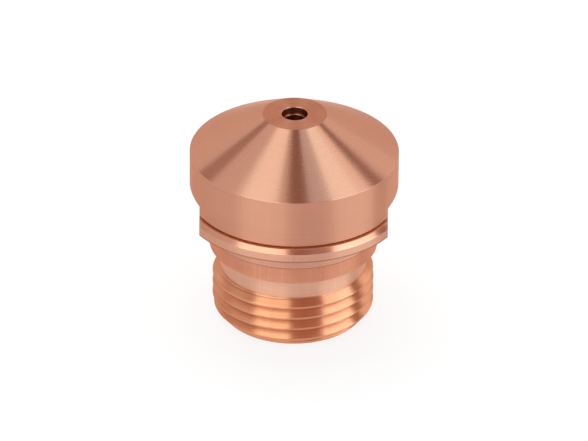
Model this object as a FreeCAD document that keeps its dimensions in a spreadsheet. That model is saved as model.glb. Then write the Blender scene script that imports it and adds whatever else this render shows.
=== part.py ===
import FreeCAD, Part
import Sketcher

import os

# Plasma torch nozzle: one piece of copper, turned, threaded and milled. From the end face up it
# has a threaded tail, a relief, a locating neck, a flange with two spanner flats, a collar, and
# a cone that ends in a flat tip with the orifice. A bore and a tapering chamber lead up to the
# orifice from the threaded end.
#
# The nozzle stands on its threaded end. The origin is the centre of that end face, +Z runs up
# the axis to the tip, and the spanner flats face -X and +X. All sizes are in millimetres.

NODE = "torch_nozzle"
SHEET = "Sizes"

# The driving dimensions: name, value, and what it measures.
SIZES = [
    ("thread_major", 19.85, "crest diameter of the M20 thread"),
    ("thread_pitch", 1.5, "pitch of the thread"),
    ("thread_angle", 60.0, "angle between the flanks of the thread, in degrees"),
    ("thread_length", 6.8, "threaded tail, from the end face to the relief"),
    ("thread_lead", 2.05, "how far below the end face the thread tool starts"),
    ("point_depth", 1.2, "how far in the chamfer at the end face goes"),
    ("point_height", 1.4, "how far up the chamfer at the end face goes"),
    ("shoulder_height", 0.75, "height of the chamfer where the thread meets the relief"),
    ("relief_length", 2.8, "relief between the thread and the neck"),
    ("relief_clearance", 0.02, "how far the relief lies below the root of the thread"),
    ("neck_diameter", 20.7, "locating neck"),
    ("neck_length", 2.2, "length of the locating neck"),
    ("land_diameter", 21.3, "land between the neck and the flange"),
    ("land_length", 2.65, "length of the land"),
    ("flange_diameter", 27.2, "rim of the flange"),
    ("rim_height", 1.15, "straight wall of the rim"),
    ("bevel_height", 0.5, "height of the bevel on the flange's upper edge"),
    ("bevel_width", 0.5, "how far in from the rim that bevel goes"),
    ("groove_diameter", 24.2, "bottom of the narrow groove under the collar"),
    ("groove_width", 0.2, "width of that groove"),
    ("collar_diameter", 25.6, "collar"),
    ("collar_height", 6.1, "straight wall of the collar"),
    ("cone_height", 5.2, "from the collar up to the tip face"),
    ("tip_diameter", 7.8, "flat face at the tip"),
    ("across_flats", 23.0, "distance over the two spanner flats"),
    ("flat_count", 2, "number of spanner flats"),
    ("flat_rise", 1.3, "how far the flats run up into the collar"),
    ("flat_runout", 15.0, "slope of the step at the top of each flat, in degrees"),
    ("edge_break", 0.1, "small chamfer on the outer edges"),
    ("bore_diameter", 13.0, "bore from the threaded end"),
    ("bore_depth", 13.5, "depth of the straight part of that bore"),
    ("mouth_chamfer", 0.5, "chamfer at the mouth of the bore"),
    ("orifice_diameter", 2.65, "orifice that the arc leaves through"),
    ("orifice_length", 3.0, "length of the orifice"),
    ("counterbore_diameter", 3.1, "counterbore in the tip face"),
    ("counterbore_depth", 0.9, "depth of the counterbore"),
    ("tool_overrun", 1.0, "how far a milling cutter runs past the metal"),
]

# The outside as zones stacked from the end face up, each named by the size that is its height.
ZONES = ["thread_length", "relief_length", "neck_length", "land_length", "rim_height",
         "bevel_height", "groove_width", "collar_height", "cone_height"]


def size(name):
    """The expression for one size in the sheet."""
    return f"{SHEET}.{name}"


def radius(name):
    """The expression for half of a diameter in the sheet."""
    return f"{SHEET}.{name} / 2"


def top_of(zone):
    """The expression for the height of a zone's upper end."""
    return " + ".join(size(name) for name in ZONES[:ZONES.index(zone) + 1])


EDGE = size("edge_break")
HALF_ANGLE = f"{size('thread_angle')} / 2"
# A metric thread has a flat of an eighth of the pitch at its crest and a quarter at its root,
# which leaves flanks that are five eighths of the full triangle high.
THREAD_DEPTH = f"0.625 * {size('thread_pitch')} / (2 * tan({HALF_ANGLE}))"
THREAD_ROOT = f"{radius('thread_major')} - {THREAD_DEPTH}"
RELIEF = f"{THREAD_ROOT} - {size('relief_clearance')}"
CONE_SLOPE = f"{size('cone_height')} / ({radius('collar_diameter')} - {radius('tip_diameter')})"


def make_sheet(document):
    """Puts the driving dimensions in a spreadsheet, one named cell each."""
    sheet = document.addObject("Spreadsheet::Sheet", SHEET)
    for row, (name, value, meaning) in enumerate(SIZES, start=1):
        sheet.set(f"A{row}", name)
        sheet.set(f"B{row}", str(value))
        sheet.set(f"C{row}", meaning)
        sheet.setAlias(f"B{row}", name)
    document.recompute()


def origin_feature(body, role):
    """One of the body's own origin planes or axes."""
    return next(item for item in body.Origin.OriginFeatures if item.Role == role)


def outline(body, name, corners):
    """A closed sketch on the body's XZ plane. Each corner has two expressions, for its distance
    from the axis and for its height; a "0" puts it on the axis or on the end face's level."""
    sketch = body.newObject("Sketcher::SketchObject", name)
    sketch.AttachmentSupport = [(origin_feature(body, "XZ_Plane"), "")]
    sketch.MapMode = "FlatFace"
    body.Document.recompute()

    def value(expression):
        return float(sketch.evalExpression(expression))

    points = [FreeCAD.Vector(value(across), value(up), 0) for across, up in corners]
    next_points = points[1:] + points[:1]
    sketch.addGeometry([Part.LineSegment(*ends) for ends in zip(points, next_points)], False)
    for side in range(len(points)):
        next_side = (side + 1) % len(points)
        sketch.addConstraint(Sketcher.Constraint("Coincident", side, 2, next_side, 1))
    for side, (across, up) in enumerate(corners):
        for kind, axis, expression in (("DistanceX", -2, across), ("DistanceY", -1, up)):
            if expression == "0":
                sketch.addConstraint(Sketcher.Constraint("PointOnObject", side, 1, axis))
            else:
                distance = Sketcher.Constraint(kind, -1, 1, side, 1, value(expression))
                index = sketch.addConstraint(distance)
                sketch.setExpression(f"Constraints[{index}]", expression)
    body.Document.recompute()
    return sketch


def turn_outside(body):
    """The turned blank: half of its outline, revolved about the axis."""
    corners = [
        ("0", "0"),
        # Threaded tail, still plain, with its two chamfers.
        (f"{radius('thread_major')} - {size('point_depth')}", "0"),
        (radius("thread_major"), size("point_height")),
        (radius("thread_major"), f"{top_of('thread_length')} - {size('shoulder_height')}"),
        (RELIEF, top_of("thread_length")),
        (RELIEF, top_of("relief_length")),
        # Locating neck, and the slightly larger land above it.
        (f"{radius('neck_diameter')} - {EDGE}", top_of("relief_length")),
        (radius("neck_diameter"), f"{top_of('relief_length')} + {EDGE}"),
        (radius("neck_diameter"), top_of("neck_length")),
        (f"{radius('land_diameter')} - {EDGE}", top_of("neck_length")),
        (radius("land_diameter"), f"{top_of('neck_length')} + {EDGE}"),
        (radius("land_diameter"), top_of("land_length")),
        # Flange, with a bevelled upper edge and a narrow groove between it and the collar.
        (f"{radius('flange_diameter')} - {EDGE}", top_of("land_length")),
        (radius("flange_diameter"), f"{top_of('land_length')} + {EDGE}"),
        (radius("flange_diameter"), top_of("rim_height")),
        (f"{radius('flange_diameter')} - {size('bevel_width')}", top_of("bevel_height")),
        (radius("groove_diameter"), top_of("bevel_height")),
        (radius("groove_diameter"), top_of("groove_width")),
        # Collar.
        (f"{radius('collar_diameter')} - {EDGE}", top_of("groove_width")),
        (radius("collar_diameter"), f"{top_of('groove_width')} + {EDGE}"),
        (radius("collar_diameter"), f"{top_of('collar_height')} - {EDGE}"),
        (f"{radius('collar_diameter')} - {EDGE}",
         f"{top_of('collar_height')} + {EDGE} * {CONE_SLOPE}"),
        # Cone and tip face.
        (f"{radius('tip_diameter')} + {EDGE}",
         f"{top_of('cone_height')} - {EDGE} * {CONE_SLOPE}"),
        (f"{radius('tip_diameter')} - {EDGE}", top_of("cone_height")),
        ("0", top_of("cone_height")),
    ]
    sketch = outline(body, "OutsideOutline", corners)
    blank = body.newObject("PartDesign::Revolution", "Blank")
    blank.Profile = sketch
    blank.ReferenceAxis = (sketch, ["V_Axis"])
    blank.Angle = 360
    body.Document.recompute()


def bore_inside(body):
    """The inside: bore, tapering chamber, orifice and counterbore, cut as one groove."""
    tip = top_of("cone_height")
    step = f"{tip} - {size('counterbore_depth')}"
    corners = [
        ("0", "0"),
        (f"{radius('bore_diameter')} + {size('mouth_chamfer')}", "0"),
        (radius("bore_diameter"), size("mouth_chamfer")),
        (radius("bore_diameter"), size("bore_depth")),
        (radius("orifice_diameter"), f"{step} - {size('orifice_length')}"),
        (radius("orifice_diameter"), step),
        (radius("counterbore_diameter"), step),
        (radius("counterbore_diameter"), f"{tip} - {EDGE}"),
        (f"{radius('counterbore_diameter')} + {EDGE}", tip),
        ("0", tip),
    ]
    sketch = outline(body, "InsideOutline", corners)
    bore = body.newObject("PartDesign::Groove", "Bore")
    bore.Profile = sketch
    bore.ReferenceAxis = (sketch, ["V_Axis"])
    bore.Angle = 360
    body.Document.recompute()


def mill_flats(body):
    """The spanner flats: one cut through the flange and the foot of the collar, repeated
    evenly about the axis. The step at its top slopes up to the outside."""
    flat = radius("across_flats")
    outside = f"{radius('flange_diameter')} + {size('tool_overrun')}"
    bottom = f"{top_of('land_length')} - {size('tool_overrun')}"
    top = f"{top_of('groove_width')} + {size('flat_rise')}"
    slope = f"({outside} - {flat}) * tan({size('flat_runout')})"
    corners = [(flat, bottom), (outside, bottom), (outside, f"{top} + {slope}"), (flat, top)]
    sketch = outline(body, "FlatOutline", corners)
    cut = body.newObject("PartDesign::Pocket", "FirstFlat")
    cut.Profile = sketch
    cut.Midplane = True
    cut.Length = 1
    cut.setExpression("Length", f"{size('flange_diameter')} + {size('tool_overrun')}")
    body.Document.recompute()
    flats = body.newObject("PartDesign::PolarPattern", "Flats")
    flats.Originals = [cut]
    flats.Axis = (origin_feature(body, "Z_Axis"), [""])
    flats.Angle = 360
    flats.setExpression("Occurrences", size("flat_count"))
    body.Tip = flats
    body.Document.recompute()


def cut_thread(body):
    """The right-hand thread: a groove that starts below the end face and runs out in the
    relief. Its sides go a sixteenth of the pitch past the crest, short of the next turn."""
    middle = f"-1 * {size('thread_lead')}"
    root_half = f"{size('thread_pitch')} / 8"
    crest = f"{radius('thread_major')} + {size('thread_pitch')} / 16"
    crest_half = f"{root_half} + ({THREAD_DEPTH} + {size('thread_pitch')} / 16) * tan({HALF_ANGLE})"
    corners = [
        (THREAD_ROOT, f"{middle} - {root_half}"),
        (crest, f"{middle} - ({crest_half})"),
        (crest, f"{middle} + {crest_half}"),
        (THREAD_ROOT, f"{middle} + {root_half}"),
    ]
    sketch = outline(body, "ThreadOutline", corners)
    thread = body.newObject("PartDesign::SubtractiveHelix", "Thread")
    thread.Profile = sketch
    thread.ReferenceAxis = (sketch, ["V_Axis"])
    thread.Mode = "pitch-height-angle"
    thread.setExpression("Pitch", size("thread_pitch"))
    thread.setExpression(
        "Height", f"{size('thread_lead')} + {size('thread_length')} + {size('relief_length')} / 2")
    thread.Angle = 0
    thread.LeftHanded = False
    thread.Reversed = False
    body.Document.recompute()


def check(document, body):
    """Stops if any feature failed, or if the nozzle isn't one sound solid."""
    failed = [item.Name for item in document.Objects
              if {"Invalid", "Error"} & set(item.State)]
    if failed:
        raise RuntimeError(f"these features failed: {failed}")
    shape = body.Shape
    if shape.isNull() or not shape.isValid() or len(shape.Solids) != 1:
        raise RuntimeError("the nozzle is not one valid solid")


def main():
    document = FreeCAD.newDocument("TorchNozzle")
    make_sheet(document)
    body = document.addObject("PartDesign::Body", "Nozzle")
    body.Label = NODE
    body.Placement = FreeCAD.Placement()
    for step in (turn_outside, bore_inside, mill_flats, cut_thread):
        step(body)
        print(f"{step.__name__}: {body.Shape.Volume:.1f} mm3")
    check(document, body)
    os.makedirs("parts", exist_ok=True)
    body.Shape.exportStep(f"parts/{NODE}.step")
    box = body.Shape.optimalBoundingBox(False)
    print(f"{NODE}: {box.XLength:.2f} x {box.YLength:.2f} x {box.ZLength:.2f} mm, "
          f"{len(body.Shape.Faces)} faces, {body.Shape.Volume:.1f} mm3")


main()
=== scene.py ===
# %% [markdown]
# # A copper torch nozzle, dressed for the camera
# The real object is one turned piece of copper that screws into the head of a cutting torch. This file is a
# lesson on how such a piece is made in Blender: a half section is drawn once, Geometry Nodes turn it, a rule
# cuts the thread, and a few finishes in the shader show what the lathe left behind.
#
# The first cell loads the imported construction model. It gives the box and the body that everything follows.

import math

import bpy
from mathutils import Matrix, Vector


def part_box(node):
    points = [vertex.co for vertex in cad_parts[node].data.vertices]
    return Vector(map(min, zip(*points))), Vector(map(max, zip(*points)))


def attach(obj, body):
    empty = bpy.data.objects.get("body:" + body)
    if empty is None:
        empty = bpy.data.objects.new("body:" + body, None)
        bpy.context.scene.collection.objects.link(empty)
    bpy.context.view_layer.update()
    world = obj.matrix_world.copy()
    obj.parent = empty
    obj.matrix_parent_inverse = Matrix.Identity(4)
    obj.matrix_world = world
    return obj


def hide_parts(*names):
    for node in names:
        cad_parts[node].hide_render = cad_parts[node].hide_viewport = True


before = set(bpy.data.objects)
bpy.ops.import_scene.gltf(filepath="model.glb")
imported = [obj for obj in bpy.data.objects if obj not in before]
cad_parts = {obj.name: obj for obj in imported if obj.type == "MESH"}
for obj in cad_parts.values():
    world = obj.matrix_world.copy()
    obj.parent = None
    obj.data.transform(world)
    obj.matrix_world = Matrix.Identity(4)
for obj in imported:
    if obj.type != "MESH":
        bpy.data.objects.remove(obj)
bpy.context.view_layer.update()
MM = 0.001
low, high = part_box("torch_nozzle")
print("nozzle box in mm:", [round((b - a) / MM, 2) for a, b in zip(low, high)])

# %% [markdown]
# ## Two small helpers
# Node trees are easier to read when each node is made in one line. `add` makes a node, sets its options and
# feeds its inputs with plain values or with the output of another node. `reckon` is the same for a Math node.

# %% Helpers for node trees
def add(tree, kind, feeds=None, **options):
    """Makes one node; feeds maps an input's name or number to a value or to an output socket."""
    node = tree.nodes.new(kind)
    for name, value in options.items():
        setattr(node, name, value)
    for key, source in (feeds or {}).items():
        if isinstance(source, bpy.types.NodeSocket):
            tree.links.new(source, node.inputs[key])
        else:
            node.inputs[key].default_value = source
    return node


def reckon(tree, operation, *terms):
    """One Math node on these terms."""
    return add(tree, "ShaderNodeMath", dict(enumerate(terms)), operation=operation).outputs[0]


# %% [markdown]
# ## The half section
# A lathe makes every round surface from one outline: radius against height. Drawing that outline as
# corners, and rounding each corner by its own small radius, keeps the edges crisp but not razor sharp,
# which is what catches the light on real turned work. Two extra points beside each rounding hold the flat
# faces flat.
#
# The outline starts in the relief above the thread, goes up over the cone, down through the hole and the
# bore, and ends on the threaded end's face. Sizes are in millimetres, as on the shop drawing. A corner with
# no rounding only marks where a finish changes.

# %% Corners of the half section
THREAD_RADIUS = 9.925
RELIEF_RADIUS = 9.093
TAIL_RADIUS = 8.725
TAIL_HEIGHT = 1.4
SHOULDER_FOOT, SHOULDER_TOP = 6.05, 6.8
THREAD_END = 7.5
CORNERS = [
    # radius, height, rounding
    (RELIEF_RADIUS, THREAD_END, 0),
    (RELIEF_RADIUS, 9.6, 0.08),
    (10.35, 9.6, 0.1),
    (10.35, 9.74, 0),
    (10.35, 11.8, 0.03),
    (10.65, 11.8, 0.1),
    (10.65, 11.96, 0),
    (10.65, 14.45, 0.06),
    (13.6, 14.45, 0.1),
    (13.6, 14.66, 0),
    (13.6, 15.6, 0.06),
    (13.1, 16.1, 0.04),
    (12.1, 16.1, 0.03),
    (12.1, 16.3, 0.03),
    (12.8, 16.3, 0.1),
    (12.8, 22.4, 0.04),
    (3.9, 27.6, 0.1),
    (1.6, 27.6, 0.08),
    (1.55, 26.7, 0.04),
    (1.325, 26.7, 0.05),
    (1.325, 23.7, 0.05),
    (6.5, 13.5, 0.1),
    (6.5, 0.5, 0.05),
    (7.0, 0.0, 0.05),
    (TAIL_RADIUS, 0.0, 0),
]


def rounded(corners, turn_per_step=15, hold=0.04):
    """The outline with each corner replaced by an arc and a holding point on each side."""
    points = []
    last = len(corners) - 1
    for index, (r, z, rounding) in enumerate(corners):
        here = Vector((r, z))
        if index in (0, last) or rounding == 0:
            points.append(here)
            continue
        to_before = (Vector(corners[index - 1][:2]) - here).normalized()
        to_after = (Vector(corners[index + 1][:2]) - here).normalized()
        opening = to_before.angle(to_after)
        reach = rounding / math.tan(opening / 2)
        start, end = here + to_before * reach, here + to_after * reach
        centre = here + (to_before + to_after).normalized() * rounding / math.sin(opening / 2)
        steps = max(2, math.ceil(math.degrees(math.pi - opening) / turn_per_step))
        points.append(start + to_before * hold)
        for step in range(steps + 1):
            arm = (start - centre).lerp(end - centre, step / steps)
            points.append(centre + arm.normalized() * rounding)
        points.append(end + to_after * hold)
    return points


def section_mesh(name, points):
    """A mesh of points and edges only, in the plane of X and Z."""
    mesh = bpy.data.meshes.new(name)
    places = [(p.x * MM, 0, p.y * MM) for p in points]
    mesh.from_pydata(places, [(i, i + 1) for i in range(len(places) - 1)], [])
    return mesh


half_section = rounded(CORNERS)
print("points in the half section:", len(half_section))

# %% [markdown]
# ## Turning, threading and milling by rule
# The nozzle could be modelled by hand with a Spin and a screw of faces, but every surface follows a rule,
# so a Geometry Nodes tree is the better way: the sizes stay as named inputs. The tree has four stages.
#
# 1. A flat grid is wrapped round the axis, each row taking its radius and height from the half section.
# 2. A second grid is wrapped the same way but its rows climb one pitch per turn, so they run along the thread,
#    and the radius of each point comes from the thread's own triangle, cut back by the chamfers of the blank.
#    The groove is as good as sharp at its root, and the crest keeps a flat of an eighth of the pitch.
# 3. Both are joined, the seams are merged, and two wedges are cut away for the spanner flats.
# 4. Edges that turn sharply are marked, and how much each edge turns is kept as an attribute for the wear
#    and for the darkened inward corners, partly residue and partly painted shade.

# %% Start the tree and its inputs
tree = bpy.data.node_groups.new("Turned nozzle", "GeometryNodeTree")
tree.is_modifier = True
SIZES = {
    "Columns": 256,
    "Pitch": 1.5 * MM,
    "Rows per Pitch": 32,
    "Thread Radius": THREAD_RADIUS * MM,
    "Thread Depth": 0.812 * MM,
    "Root Flat": 0.04 * MM,
    "Groove Height": -2.05 * MM,
    "Thread Rows": 208,
    "Thread End": THREAD_END * MM,
    "Tail Radius": TAIL_RADIUS * MM,
    "Tail Slope": (THREAD_RADIUS - TAIL_RADIUS) / TAIL_HEIGHT,
    "Shoulder Height": SHOULDER_FOOT * MM,
    "Shoulder Slope": (THREAD_RADIUS - RELIEF_RADIUS) / (SHOULDER_TOP - SHOULDER_FOOT),
    "Relief Radius": RELIEF_RADIUS * MM,
    "Crest Softness": 0.06 * MM,
    "Across Flats": 23.0 * MM,
    "Flat Foot": 13.5 * MM,
    "Flat Top": 17.6 * MM,
    "Flat Slope": math.tan(math.radians(15)),
}
tree.interface.new_socket("Section", in_out="INPUT", socket_type="NodeSocketGeometry")
identifiers = {}
for name, value in SIZES.items():
    kind = "NodeSocketInt" if isinstance(value, int) else "NodeSocketFloat"
    item = tree.interface.new_socket(name, in_out="INPUT", socket_type=kind)
    item.default_value = value
    identifiers[name] = item.identifier
tree.interface.new_socket("Nozzle", in_out="OUTPUT", socket_type="NodeSocketGeometry")
given = add(tree, "NodeGroupInput").outputs
print("named sizes in the tree:", len(identifiers))


# %% Wrap a grid round the axis
def wrapping_grid(rows):
    """A unit grid, each point's share of the turn, and its row number counted from 0."""
    columns = reckon(tree, "ADD", given["Columns"], 1)
    grid = add(tree, "GeometryNodeMeshGrid",
               {"Size X": 1, "Size Y": 1, "Vertices X": columns, "Vertices Y": rows})
    place = add(tree, "ShaderNodeSeparateXYZ", {0: add(tree, "GeometryNodeInputPosition").outputs[0]})
    share = reckon(tree, "ADD", place.outputs["X"], 0.5)
    along = reckon(tree, "ADD", place.outputs["Y"], 0.5)
    row = reckon(tree, "ROUND", reckon(tree, "MULTIPLY", along, reckon(tree, "SUBTRACT", rows, 1)))
    return grid.outputs["Mesh"], share, row


def wrapped(grid, share, radius, height):
    """The grid with its points moved to this radius and height."""
    angle = reckon(tree, "MULTIPLY", share, 2 * math.pi)
    place = add(tree, "ShaderNodeCombineXYZ", {
        "X": reckon(tree, "MULTIPLY", radius, reckon(tree, "COSINE", angle)),
        "Y": reckon(tree, "MULTIPLY", radius, reckon(tree, "SINE", angle)),
        "Z": height})
    return add(tree, "GeometryNodeSetPosition", {"Geometry": grid, "Position": place.outputs[0]}).outputs[0]


# %% Stage 1: turn the half section
points = add(tree, "GeometryNodeAttributeDomainSize", {0: given["Section"]}, component="MESH")
grid, share, row = wrapping_grid(points.outputs["Point Count"])
position = add(tree, "GeometryNodeInputPosition").outputs[0]
drawn = add(tree, "GeometryNodeSampleIndex", {"Geometry": given["Section"], "Value": position, "Index": row},
            data_type="FLOAT_VECTOR", domain="POINT")
drawn = add(tree, "ShaderNodeSeparateXYZ", {0: drawn.outputs[0]})
turned = wrapped(grid, share, drawn.outputs["X"], drawn.outputs["Z"])

# %% Stage 2: cut the thread
rows = reckon(tree, "ADD", given["Thread Rows"], 1)
grid, share, row = wrapping_grid(rows)
climb = reckon(tree, "MULTIPLY", share, given["Pitch"])
step = reckon(tree, "DIVIDE", given["Pitch"], given["Rows per Pitch"])
start = reckon(tree, "ADD", given["Groove Height"], climb)
height = reckon(tree, "MULTIPLY_ADD", row, step, start)
height = reckon(tree, "MINIMUM", reckon(tree, "MAXIMUM", height, 0), given["Thread End"])

half_pitch = reckon(tree, "DIVIDE", given["Pitch"], 2)
from_groove = reckon(tree, "ABSOLUTE", reckon(
    tree, "WRAP", reckon(tree, "SUBTRACT", height, start), half_pitch,
    reckon(tree, "MULTIPLY", half_pitch, -1)))
root = reckon(tree, "SUBTRACT", given["Thread Radius"], given["Thread Depth"])
HALF_GROOVE = 7 / 16  # of the pitch, from the middle of the groove to the crest's flat
half_root = reckon(tree, "DIVIDE", given["Root Flat"], 2)
flank_width = reckon(tree, "SUBTRACT", reckon(tree, "MULTIPLY", given["Pitch"], HALF_GROOVE), half_root)
up_the_flank = reckon(tree, "DIVIDE", reckon(tree, "SUBTRACT", from_groove, half_root), flank_width)
flank = reckon(tree, "MULTIPLY_ADD", up_the_flank, given["Thread Depth"], root)
soft = given["Crest Softness"]
tooth = reckon(tree, "SMOOTH_MIN",
               reckon(tree, "SMOOTH_MAX", flank, root, soft), given["Thread Radius"], soft)

tail = reckon(tree, "MULTIPLY_ADD", height, given["Tail Slope"], given["Tail Radius"])
over_shoulder = reckon(tree, "SUBTRACT", height, given["Shoulder Height"])
shoulder = reckon(tree, "SUBTRACT", given["Thread Radius"],
                  reckon(tree, "MULTIPLY", over_shoulder, given["Shoulder Slope"]))
blank = reckon(tree, "SMOOTH_MIN", tail, shoulder, soft)
tooth = reckon(tree, "SMOOTH_MIN", tooth, reckon(tree, "MAXIMUM", blank, given["Relief Radius"]), soft)
tooth = reckon(tree, "MINIMUM", tooth, reckon(tree, "MAXIMUM", tail, 0))
threaded = wrapped(grid, share, tooth, height)

# %% Stage 3: join, merge and mill the flats
SEAM = 0.001
WEDGE_DEPTH, WEDGE_LENGTH = 4, 40
joined = add(tree, "GeometryNodeJoinGeometry")
tree.links.new(turned, joined.inputs[0])
tree.links.new(threaded, joined.inputs[0])
whole = add(tree, "GeometryNodeMergeByDistance",
            {"Geometry": joined.outputs[0], "Distance": SEAM * MM}).outputs[0]

block = add(tree, "GeometryNodeMeshCube", {"Size": (1, 1, 1)}).outputs["Mesh"]
corner = add(tree, "ShaderNodeSeparateXYZ", {0: add(tree, "GeometryNodeInputPosition").outputs[0]})
reach = reckon(tree, "MULTIPLY", reckon(tree, "ADD", corner.outputs["X"], 0.5), WEDGE_DEPTH * MM)
ramp = reckon(tree, "MULTIPLY_ADD", reach, given["Flat Slope"], given["Flat Top"])
is_top = reckon(tree, "GREATER_THAN", corner.outputs["Z"], 0)
rise = reckon(tree, "MULTIPLY", is_top, reckon(tree, "SUBTRACT", ramp, given["Flat Foot"]))
wedge_place = add(tree, "ShaderNodeCombineXYZ", {
    "X": reckon(tree, "MULTIPLY_ADD", given["Across Flats"], 0.5, reach),
    "Y": reckon(tree, "MULTIPLY", corner.outputs["Y"], WEDGE_LENGTH * MM),
    "Z": reckon(tree, "ADD", given["Flat Foot"], rise)})
wedge = add(tree, "GeometryNodeSetPosition",
            {"Geometry": block, "Position": wedge_place.outputs[0]}).outputs[0]
facing = add(tree, "GeometryNodeTransform", {"Geometry": wedge, "Rotation": (0, 0, math.pi)}).outputs[0]
milled = add(tree, "GeometryNodeMeshBoolean", {"Mesh 1": whole}, operation="DIFFERENCE", solver="EXACT")
tree.links.new(wedge, milled.inputs["Mesh 2"])
tree.links.new(facing, milled.inputs["Mesh 2"])

# %% Stage 4: shade, and keep the turn of the edges
SHARP = math.radians(24)
turn = add(tree, "GeometryNodeInputMeshEdgeAngle")
smooth = add(tree, "GeometryNodeSetShadeSmooth",
             {"Geometry": milled.outputs["Mesh"], "Shade Smooth": True}).outputs[0]
hard = reckon(tree, "GREATER_THAN", turn.outputs["Unsigned Angle"], SHARP)
edged = add(tree, "GeometryNodeSetShadeSmooth",
            {"Geometry": smooth, "Selection": hard, "Shade Smooth": False}, domain="EDGE").outputs[0]
spread_turn = add(tree, "GeometryNodeBlurAttribute",
                  {"Value": turn.outputs["Signed Angle"], "Iterations": 1}, data_type="FLOAT").outputs[0]
kept = add(tree, "GeometryNodeStoreNamedAttribute",
           {"Geometry": edged, "Name": "edge_turn", "Value": spread_turn},
           data_type="FLOAT", domain="POINT").outputs[0]
print("nodes in the tree:", len(tree.nodes))

# %% [markdown]
# ## What the lathe leaves: one group for all finishes
# Under a lens, turned copper is a ploughed field: rings a few hundredths of a millimetre apart, some deeper
# than others, and over them faint streaks along the piece where the tool trembled. Scratches painted on
# flat would slide and stretch, so the marks come from noise read in the piece's own radius, height and
# direction. The same group serves every finish, with its own numbers in each, and hands out a height, a
# tone, a mask of worn edges and a mask of the inward corners, which the finishes darken: partly residue
# that stays there, partly painted shade.

# %% The group of lathe marks
STREAK_LENGTH_SCALE = 90.0
CLOUD_SCALE, CLOUD_SHARE = 180.0, 0.3
WORN_FROM, WORN_TO = math.radians(2), math.radians(7)
# Inward corners are darkened between these angles: partly residue, partly painted shade.
DIRT_AND_SHADE_FROM, DIRT_AND_SHADE_TO = math.radians(-1), math.radians(-6)
MARKS = {"Ring Scale": 9000.0, "Ring Drift": 1.5, "Streak Scale": 60.0, "Streak Share": 0.3}
marks = bpy.data.node_groups.new("Lathe marks", "ShaderNodeTree")
for name, value in MARKS.items():
    marks.interface.new_socket(name, in_out="INPUT", socket_type="NodeSocketFloat").default_value = value
for name in ("Height", "Tone", "Wear", "Recess"):
    marks.interface.new_socket(name, in_out="OUTPUT", socket_type="NodeSocketFloat")
asked = add(marks, "NodeGroupInput").outputs
here = add(marks, "ShaderNodeTexCoord").outputs["Object"]
axes = add(marks, "ShaderNodeSeparateXYZ", {0: here}).outputs
out_from_axis = add(marks, "ShaderNodeCombineXYZ", {"X": axes["X"], "Y": axes["Y"]}).outputs[0]
radius = add(marks, "ShaderNodeVectorMath", {0: out_from_axis}, operation="LENGTH").outputs["Value"]
heading = add(marks, "ShaderNodeVectorMath", {0: out_from_axis}, operation="NORMALIZE").outputs[0]
compass = add(marks, "ShaderNodeSeparateXYZ", {0: heading}).outputs


def noise_round_axis(turn_scale, length_scale, detail):
    """Noise read in direction (without a seam), radius and height."""
    place = add(marks, "ShaderNodeCombineXYZ", {
        "X": reckon(marks, "MULTIPLY", compass["X"], turn_scale),
        "Y": reckon(marks, "MULTIPLY", compass["Y"], turn_scale),
        "Z": reckon(marks, "MULTIPLY", radius, length_scale)}).outputs[0]
    return add(marks, "ShaderNodeTexNoise", {
        "Vector": place, "W": reckon(marks, "MULTIPLY", axes["Z"], length_scale),
        "Scale": 1.0, "Detail": detail, "Roughness": 0.6}, noise_dimensions="4D").outputs[0]


rings = noise_round_axis(asked["Ring Drift"], asked["Ring Scale"], 2.0)
streaks = noise_round_axis(asked["Streak Scale"], STREAK_LENGTH_SCALE, 2.0)
cloud = add(marks, "ShaderNodeTexNoise", {"Vector": here, "Scale": CLOUD_SCALE, "Detail": 3.0}).outputs[0]
leave = reckon(marks, "SUBTRACT", 1, asked["Streak Share"])
mixed = reckon(marks, "ADD", reckon(marks, "MULTIPLY", rings, leave),
               reckon(marks, "MULTIPLY", streaks, asked["Streak Share"]))
tone = reckon(marks, "ADD", reckon(marks, "MULTIPLY", mixed, 1 - CLOUD_SHARE),
              reckon(marks, "MULTIPLY", cloud, CLOUD_SHARE))
edge = add(marks, "ShaderNodeAttribute", attribute_name="edge_turn").outputs["Fac"]
# Recess is the mask of inward corners, darkened later as residue and painted shade.
wear, recess = (add(marks, "ShaderNodeMapRange", {
    "Value": edge, "From Min": least, "From Max": most, "To Min": 0, "To Max": 1}).outputs[0]
    for least, most in ((WORN_FROM, WORN_TO), (DIRT_AND_SHADE_FROM, DIRT_AND_SHADE_TO)))
add(marks, "NodeGroupOutput", {"Height": mixed, "Tone": tone, "Wear": wear, "Recess": recess})
print("nodes in the group:", len(marks.nodes))

# %% [markdown]
# ## Eleven finishes of one copper
# The metal is the same everywhere, so all finishes share one recipe and differ in how the tool left them:
# the cone and the bevel were cut last, with a fine feed, and gleam; the collar and rings are plain satin;
# the thread is burnished by its tool; the end face shows rings. The hole and the lower edges of the rings
# are given dark colours that are painted shade, and the groove under the collar and the collar's lower edge
# a bright orange that is a painted reflection of the bevel. Each has a deep and a light colour, which the
# lathe marks mix. The long shape of a highlight on turned metal comes from the shader's own Anisotropic
# value with a tangent round the axis, so it stays right from every side.

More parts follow.
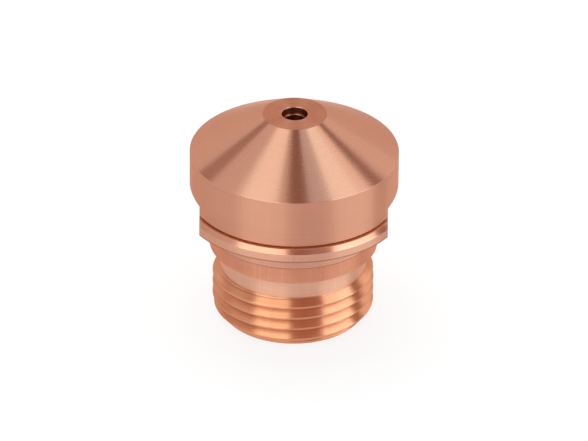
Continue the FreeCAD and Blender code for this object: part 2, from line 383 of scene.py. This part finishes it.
# %% The colours
COLOURS = {
    # finish: deep, light
    "side": ((0.58, 0.262, 0.175), (0.625, 0.295, 0.20)),
    "cone": ((0.575, 0.265, 0.178), (0.605, 0.287, 0.195)),
    "bevel": ((0.54, 0.235, 0.155), (0.60, 0.28, 0.19)),
    # Painted reflection: bright orange on the groove and the collar's lower edge stands in for the bevel's
    # reflection.
    "groove": ((0.78, 0.38, 0.20), (0.88, 0.46, 0.26)),
    # Painted shade: the dark colour of the lower edges of the rings stands in for the shade under them.
    "edge": ((0.36, 0.15, 0.09), (0.46, 0.21, 0.13)),
    "ring": ((0.62, 0.29, 0.195), (0.70, 0.36, 0.26)),
    "thread": ((0.64, 0.26, 0.14), (0.77, 0.355, 0.205)),
    "relief": ((0.68, 0.35, 0.245), (0.78, 0.43, 0.31)),
    "neck": ((0.58, 0.22, 0.135), (0.68, 0.30, 0.19)),
    "face": ((0.48, 0.182, 0.108), (0.55, 0.222, 0.14)),
    # Painted shade: the hole's very dark colour stands in for the shade inside it.
    "hole": ((0.20, 0.05, 0.022), (0.31, 0.095, 0.048)),
}
WORN_COPPER = (0.78, 0.46, 0.34, 1)
# Dark copper for the inward corners: partly residue, partly painted shade.
SOILED_AND_SHADED_COPPER = (0.30, 0.10, 0.045, 1)
GRAZING_TINT = (0.86, 0.64, 0.54, 1)
DEEP_BELOW, LIGHT_ABOVE = 0.35, 0.65
ROUGHEST_BELOW, SMOOTHEST_ABOVE = 0.3, 0.7


# %% The recipe
def copper(name, colours, roughness, spread, anisotropic, bump, ring_scale, streak_scale, streak_share,
           worn, soiled_and_shaded):
    """A bare copper finish; roughness is its middle value, and spread is how far the marks move it."""
    deep, light = colours
    material = bpy.data.materials.new(name)
    material.use_nodes = True
    nodes = material.node_tree
    shader = nodes.nodes["Principled BSDF"]
    shader.inputs["Metallic"].default_value = 1.0
    shader.inputs["Anisotropic"].default_value = anisotropic
    shader.inputs["Specular Tint"].default_value = GRAZING_TINT
    shader.inputs["Anisotropic Rotation"].default_value = 0.25
    tangent = add(nodes, "ShaderNodeTangent", direction_type="RADIAL", axis="Z")
    nodes.links.new(tangent.outputs[0], shader.inputs["Tangent"])
    group = add(nodes, "ShaderNodeGroup", node_tree=marks)
    group.inputs["Ring Scale"].default_value = ring_scale
    group.inputs["Streak Scale"].default_value = streak_scale
    group.inputs["Streak Share"].default_value = streak_share
    ramp = add(nodes, "ShaderNodeValToRGB", {"Fac": group.outputs["Tone"]})
    first, last = ramp.color_ramp.elements
    first.position, first.color = DEEP_BELOW, (*deep, 1)
    last.position, last.color = LIGHT_ABOVE, (*light, 1)
    colour = ramp.outputs[0]
    # Worn edges are lightened; inward corners are darkened, partly residue and partly painted shade.
    for mask, strength, over in (("Wear", worn, WORN_COPPER), ("Recess", soiled_and_shaded, SOILED_AND_SHADED_COPPER)):
        amount = reckon(nodes, "MULTIPLY", group.outputs[mask], strength)
        colour = add(nodes, "ShaderNodeMix", {0: amount, 6: colour, 7: over}, data_type="RGBA").outputs[2]
    nodes.links.new(colour, shader.inputs["Base Color"])
    rough = add(nodes, "ShaderNodeMapRange", {
        "Value": group.outputs["Tone"], "From Min": ROUGHEST_BELOW, "From Max": SMOOTHEST_ABOVE,
        "To Min": roughness + spread, "To Max": roughness - spread})
    nodes.links.new(rough.outputs[0], shader.inputs["Roughness"])
    relief = add(nodes, "ShaderNodeBump",
                 {"Height": group.outputs["Height"], "Distance": bump * MM, "Strength": 1.0})
    nodes.links.new(relief.outputs[0], shader.inputs["Normal"])
    return material


# %% Make the finishes
RECIPES = {
    # zone: name, roughness, spread, anisotropic, bump in mm, ring scale, streak scale, streak share, worn, soiled
    "side": ("copper_turned_satin", 0.37, 0.02, 0.95, 0.0003, 7000, 70, 0.5, 0.05, 0.4),
    "cone": ("copper_turned_fine", 0.27, 0.01, 0.95, 0.00005, 12000, 40, 0.3, 0.05, 0.6),
    "bevel": ("copper_bevel", 0.31, 0.02, 0.95, 0.0002, 12000, 40, 0.3, 0.25, 0.6),
    # Painted reflection of the bevel on the groove and the collar's lower edge.
    "groove": ("copper_groove", 0.40, 0.02, 0.5, 0.0002, 9000, 40, 0.3, 0, 0.2),
    # Painted shade at the lower edges of the rings.
    "edge": ("copper_lower_edges", 0.42, 0.02, 0.8, 0.0003, 7000, 60, 0.4, 0, 0.3),
    "ring": ("copper_rings", 0.37, 0.02, 0.95, 0.0004, 7000, 60, 0.4, 0.25, 0.6),
    "thread": ("copper_thread", 0.36, 0.02, 1.0, 0.0003, 9000, 40, 0.3, 0, 0.35),
    "relief": ("copper_relief", 0.38, 0.02, 0.95, 0.0004, 7000, 70, 0.5, 0.25, 0.6),
    "neck": ("copper_neck", 0.35, 0.02, 0.95, 0.0006, 7000, 70, 0.7, 0.25, 0.6),
    "face": ("copper_end_face", 0.40, 0.03, 0.75, 0.0002, 5000, 20, 0.1, 0.25, 0.6),
    # Painted shade inside the hole.
    "hole": ("copper_sooted", 0.34, 0.04, 0.6, 0.0003, 7000, 30, 0.3, 0.4, 0.3),
}
FINISHES = {zone: copper(name, COLOURS[zone], *numbers) for zone, (name, *numbers) in RECIPES.items()}
print("finishes:", ", ".join(m.name for m in FINISHES.values()))


# %% Give each zone of the nozzle its finish
place = add(tree, "ShaderNodeSeparateXYZ", {0: add(tree, "GeometryNodeInputPosition").outputs[0]}).outputs
from_axis = reckon(tree, "SQRT", reckon(tree, "ADD", reckon(tree, "MULTIPLY", place["X"], place["X"]),
                                        reckon(tree, "MULTIPLY", place["Y"], place["Y"])))
EVERYWHERE = 1000
ZONES = [
    # finish, from height, to height, from radius, to radius; a later zone lies over an earlier one
    ("thread", -EVERYWHERE, 6.85, 8.5, EVERYWHERE),
    ("cone", 22.35, 27.56, 3.8, EVERYWHERE),
    ("ring", 11.78, 16.15, 10.3, EVERYWHERE),
    # Painted shade: dark bands at the lower edges of the land and of the flange rim.
    ("edge", 11.79, 11.95, 10.45, EVERYWHERE),
    ("edge", 14.44, 14.65, 11.3, EVERYWHERE),
    ("bevel", 15.6, 16.12, 13.0, EVERYWHERE),
    # Painted reflection: the groove, the ledge and the collar's lower edge get the bright orange finish.
    ("groove", 16.08, 16.36, 11.9, EVERYWHERE),
    ("relief", 6.85, 9.58, 8.5, EVERYWHERE),
    ("neck", 9.58, 11.78, 8.5, EVERYWHERE),
    ("face", 27.56, EVERYWHERE, -EVERYWHERE, EVERYWHERE),
    # Painted shade: the whole inside of the hole gets the dark finish.
    ("hole", 20.0, 27.54, -EVERYWHERE, 3.6),
]


def between(value, least, most):
    """1 where the value lies between the two, in millimetres, else 0."""
    return reckon(tree, "MULTIPLY", reckon(tree, "GREATER_THAN", value, least * MM),
                  reckon(tree, "LESS_THAN", value, most * MM))


painted = add(tree, "GeometryNodeSetMaterial", {"Geometry": kept, "Material": FINISHES["side"]}).outputs[0]
for zone, foot, top, inner, outer in ZONES:
    chosen = reckon(tree, "MULTIPLY", between(place["Z"], foot, top), between(from_axis, inner, outer))
    painted = add(tree, "GeometryNodeSetMaterial", {
        "Geometry": painted, "Selection": chosen, "Material": FINISHES[zone]}).outputs[0]
real = add(tree, "GeometryNodeRealizeInstances", {"Geometry": painted}).outputs[0]
add(tree, "NodeGroupOutput", {"Nozzle": real})

# %% Make the nozzle a plain mesh
drawn_piece = bpy.data.objects.new("half_section", section_mesh("half_section", half_section))
bpy.context.scene.collection.objects.link(drawn_piece)
modifier = drawn_piece.modifiers.new("Turn", "NODES")
modifier.node_group = tree
for name, value in SIZES.items():
    modifier[identifiers[name]] = value
bpy.context.view_layer.update()
graph = bpy.context.evaluated_depsgraph_get()
mesh = bpy.data.meshes.new_from_object(drawn_piece.evaluated_get(graph))
mesh.name = "nozzle_copper"
drawn_piece.modifiers.remove(modifier)
bpy.data.objects.remove(drawn_piece)
nozzle = bpy.data.objects.new("nozzle_copper", mesh)
bpy.context.scene.collection.objects.link(nozzle)


def enclosed_volume(mesh):
    """The volume inside a closed mesh; it is negative if the faces point inwards."""
    mesh.calc_loop_triangles()
    total = 0.0
    for triangle in mesh.loop_triangles:
        a, b, c = (mesh.vertices[i].co for i in triangle.vertices)
        total += a.dot(b.cross(c)) / 6
    return total


if enclosed_volume(mesh) < 0:
    mesh.flip_normals()
    print("faces turned outwards")
print("triangles:", len(mesh.loop_triangles), "volume in mm3:", round(enclosed_volume(mesh) * 1e9, 1))
print("size in mm:", [round(v / MM, 3) for v in nozzle.dimensions])
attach(nozzle, "root")
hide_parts("torch_nozzle")

# %% [markdown]
# ## Camera
# The nozzle is seen from in front and 30 degrees above with a long lens, so its circles are nearly true
# ellipses. The camera is placed by angle and distance from a point on the axis and looks at it. Then it is
# tipped down, panned and leaned a little, so that the piece sits as it should in the frame.

# %% Place the camera
AIM = Vector((0, 0, 16.3 * MM))
ELEVATION = math.radians(30.53)
DISTANCE = 939.4 * MM
SENSOR_WIDTH, LENS = 36, 468.735
TIP_DOWN, PAN_RIGHT, LEAN = (math.radians(angle) for angle in (0.2034, 0.0029, 0.606))
data = bpy.data.cameras.new("camera")
data.sensor_width = SENSOR_WIDTH
data.lens = LENS
data.clip_end = 10
camera = bpy.data.objects.new("camera", data)
bpy.context.scene.collection.objects.link(camera)
bpy.context.scene.camera = camera
back = Vector((0, -math.cos(ELEVATION), math.sin(ELEVATION)))
right = Vector((1, 0, 0))
aimed = Matrix((right, back.cross(right), back)).transposed()
nudge = (Matrix.Rotation(-TIP_DOWN, 3, "X") @ Matrix.Rotation(-PAN_RIGHT, 3, "Y")
         @ Matrix.Rotation(LEAN, 3, "Z"))
camera.matrix_world = Matrix.Translation(AIM + back * DISTANCE) @ (aimed @ nudge).to_4x4()
print("camera distance in mm:", round(DISTANCE / MM, 1), "lens in mm:", round(data.lens, 1))

# %% [markdown]
# ## Floor, world and boards
# Bare metal shows its surroundings more than its own colour, so the surroundings are set up as in a small
# studio: a white floor and room, bright boards left and right, a dark gap between them, and dark strips
# further round. Each board hangs where the mirror rule says: a surface that faces halfway between the
# camera and the board shows it. A board is therefore given by the azimuth and the tilt of the surfaces that
# are to show it, and not by where it hangs. The boards named top are for the cone, and the boards named
# front for steeper faces.

# %% White floor and world
ROOM_LEVEL, SEEN_LEVEL = 0.8, 1.0
FLOOR_WHITE, FLOOR_GLOW, FLOOR_GLOW_SHARE = 0.9, 1.08, 0.75
FLOOR_REACH = 4.0
FLOOR_GAP = 0.01 * MM


def white_where_seen(nodes, light_path):
    """1 for rays from the camera, from reflections and through glass."""
    seen = reckon(nodes, "MAXIMUM", light_path["Is Camera Ray"], light_path["Is Glossy Ray"])
    return reckon(nodes, "MAXIMUM", seen, light_path["Is Transmission Ray"])


world = bpy.data.worlds.new("white_room")
bpy.context.scene.world = world
world.use_nodes = True
sky = world.node_tree
rays = add(sky, "ShaderNodeLightPath").outputs
level = add(sky, "ShaderNodeMapRange", {
    "Value": white_where_seen(sky, rays), "To Min": ROOM_LEVEL, "To Max": SEEN_LEVEL}).outputs[0]
background = sky.nodes["Background"]
background.inputs["Color"].default_value = (1, 1, 1, 1)
sky.links.new(level, background.inputs["Strength"])

floor_mesh = bpy.data.meshes.new("floor")
ends = (-FLOOR_REACH, FLOOR_REACH)
floor_mesh.from_pydata([(x, y, 0) for y in ends for x in ends], [], [(0, 1, 3, 2)])
floor = bpy.data.objects.new("floor", floor_mesh)
bpy.context.scene.collection.objects.link(floor)
floor.location.z = low[2] - FLOOR_GAP
paint = bpy.data.materials.new("floor_white")
paint.use_nodes = True
floor_mesh.materials.append(paint)
nodes = paint.node_tree
nodes.nodes.remove(nodes.nodes["Principled BSDF"])
lit = add(nodes, "ShaderNodeBsdfDiffuse", {"Color": (FLOOR_WHITE, FLOOR_WHITE, FLOOR_WHITE, 1)})
glow = add(nodes, "ShaderNodeEmission", {"Color": (1, 1, 1, 1), "Strength": FLOOR_GLOW})
rays = add(nodes, "ShaderNodeLightPath").outputs
share = reckon(nodes, "MULTIPLY", white_where_seen(nodes, rays), FLOOR_GLOW_SHARE)
blend = add(nodes, "ShaderNodeMixShader", {0: share, 1: lit.outputs[0], 2: glow.outputs[0]})
nodes.links.new(blend.outputs[0], nodes.nodes["Material Output"].inputs["Surface"])


# %% Boards hung by the mirror rule
TO_CAMERA = back.copy()
CENTRE = Vector((0, 0, 16 * MM))
BOARD_DISTANCE = 0.6
BOARD_STEPS = 8


def mirrored(azimuth, tilt):
    """Where a surface looks that faces this azimuth, from the front to the right, at this tilt from up."""
    a, t = math.radians(azimuth), math.radians(tilt)
    normal = Vector((math.sin(a) * math.sin(t), -math.cos(a) * math.sin(t), math.cos(t)))
    return 2 * normal.dot(TO_CAMERA) * normal - TO_CAMERA


def hang_board(name, azimuths, tilts, colour):
    """A curved board seen by surfaces in this span of azimuth and tilt."""
    places, faces = [], []
    for i in range(BOARD_STEPS + 1):
        for j in range(BOARD_STEPS + 1):
            azimuth = azimuths[0] + (azimuths[1] - azimuths[0]) * i / BOARD_STEPS
            tilt = tilts[0] + (tilts[1] - tilts[0]) * j / BOARD_STEPS
            places.append(CENTRE + mirrored(azimuth, tilt) * BOARD_DISTANCE)
            if i < BOARD_STEPS and j < BOARD_STEPS:
                a = i * (BOARD_STEPS + 1) + j
                faces.append((a, a + 1, a + BOARD_STEPS + 2, a + BOARD_STEPS + 1))
    mesh = bpy.data.meshes.new(name)
    mesh.from_pydata(places, [], faces)
    board = bpy.data.objects.new(name, mesh)
    bpy.context.scene.collection.objects.link(board)
    card = bpy.data.materials.new(name)
    card.use_nodes = True
    nodes = card.node_tree
    nodes.nodes.remove(nodes.nodes["Principled BSDF"])
    shine = add(nodes, "ShaderNodeEmission", {"Color": (*colour, 1), "Strength": 1.0})
    nodes.links.new(shine.outputs[0], nodes.nodes["Material Output"].inputs["Surface"])
    mesh.materials.append(card)
    board.visible_camera = False
    board.visible_diffuse = False
    board.visible_shadow = False


TOP, FRONT = (8, 40), (40, 66)
DIM = (0.42, 0.3, 0.26)
BOARDS = [
    # name, azimuths, tilts, colour
    ("bright_left_top", (-33, -8.5), TOP, (1.18, 1.42, 1.43)),
    ("bright_left_front", (-30, -3.5), FRONT, (3.2, 3.7, 3.5)),
    ("bright_right_top", (20, 37.5), TOP, (1.16, 1.44, 1.48)),
    ("bright_right_front", (21.5, 48), FRONT, (3.3, 4.0, 4.1)),
    ("far_right_front", (61, 80), FRONT, (1.7, 1.8, 1.8)),
    ("dark_gap_top", (-9, 8), TOP, (0.32, 0.2, 0.17)),
    ("grey_gap_top", (8, 20), TOP, (1.0, 1.18, 1.3)),
    ("dark_gap_front", (-3.5, 21.5), (40, 60), (0.48, 0.24, 0.19)),
    ("dark_left", (-64, -52), (8, 38), DIM),
    ("dark_right_top", (46, 56), (8, 38), DIM),
    ("dark_right_front", (50, 59), (38, 66), DIM),
]
for board in BOARDS:
    hang_board(*board)
print("boards:", len(BOARDS))

# %% One soft lamp for the shadow
lamp = bpy.data.lights.new("top_softbox", "AREA")
lamp.shape = "RECTANGLE"
lamp.size = lamp.size_y = 0.5
lamp.energy = 1.2
top = bpy.data.objects.new("top_softbox", lamp)
bpy.context.scene.collection.objects.link(top)
top.location = (-0.1, 0.25, 0.7)
top.rotation_euler = (top.location - CENTRE).to_track_quat("Z", "Y").to_euler()
top.visible_glossy = False

# %% [markdown]
# ## Finish
# Colours are shown as written, so the Standard view is set.

# %% Set how colours are shown
bpy.context.scene.view_settings.view_transform = "Standard"
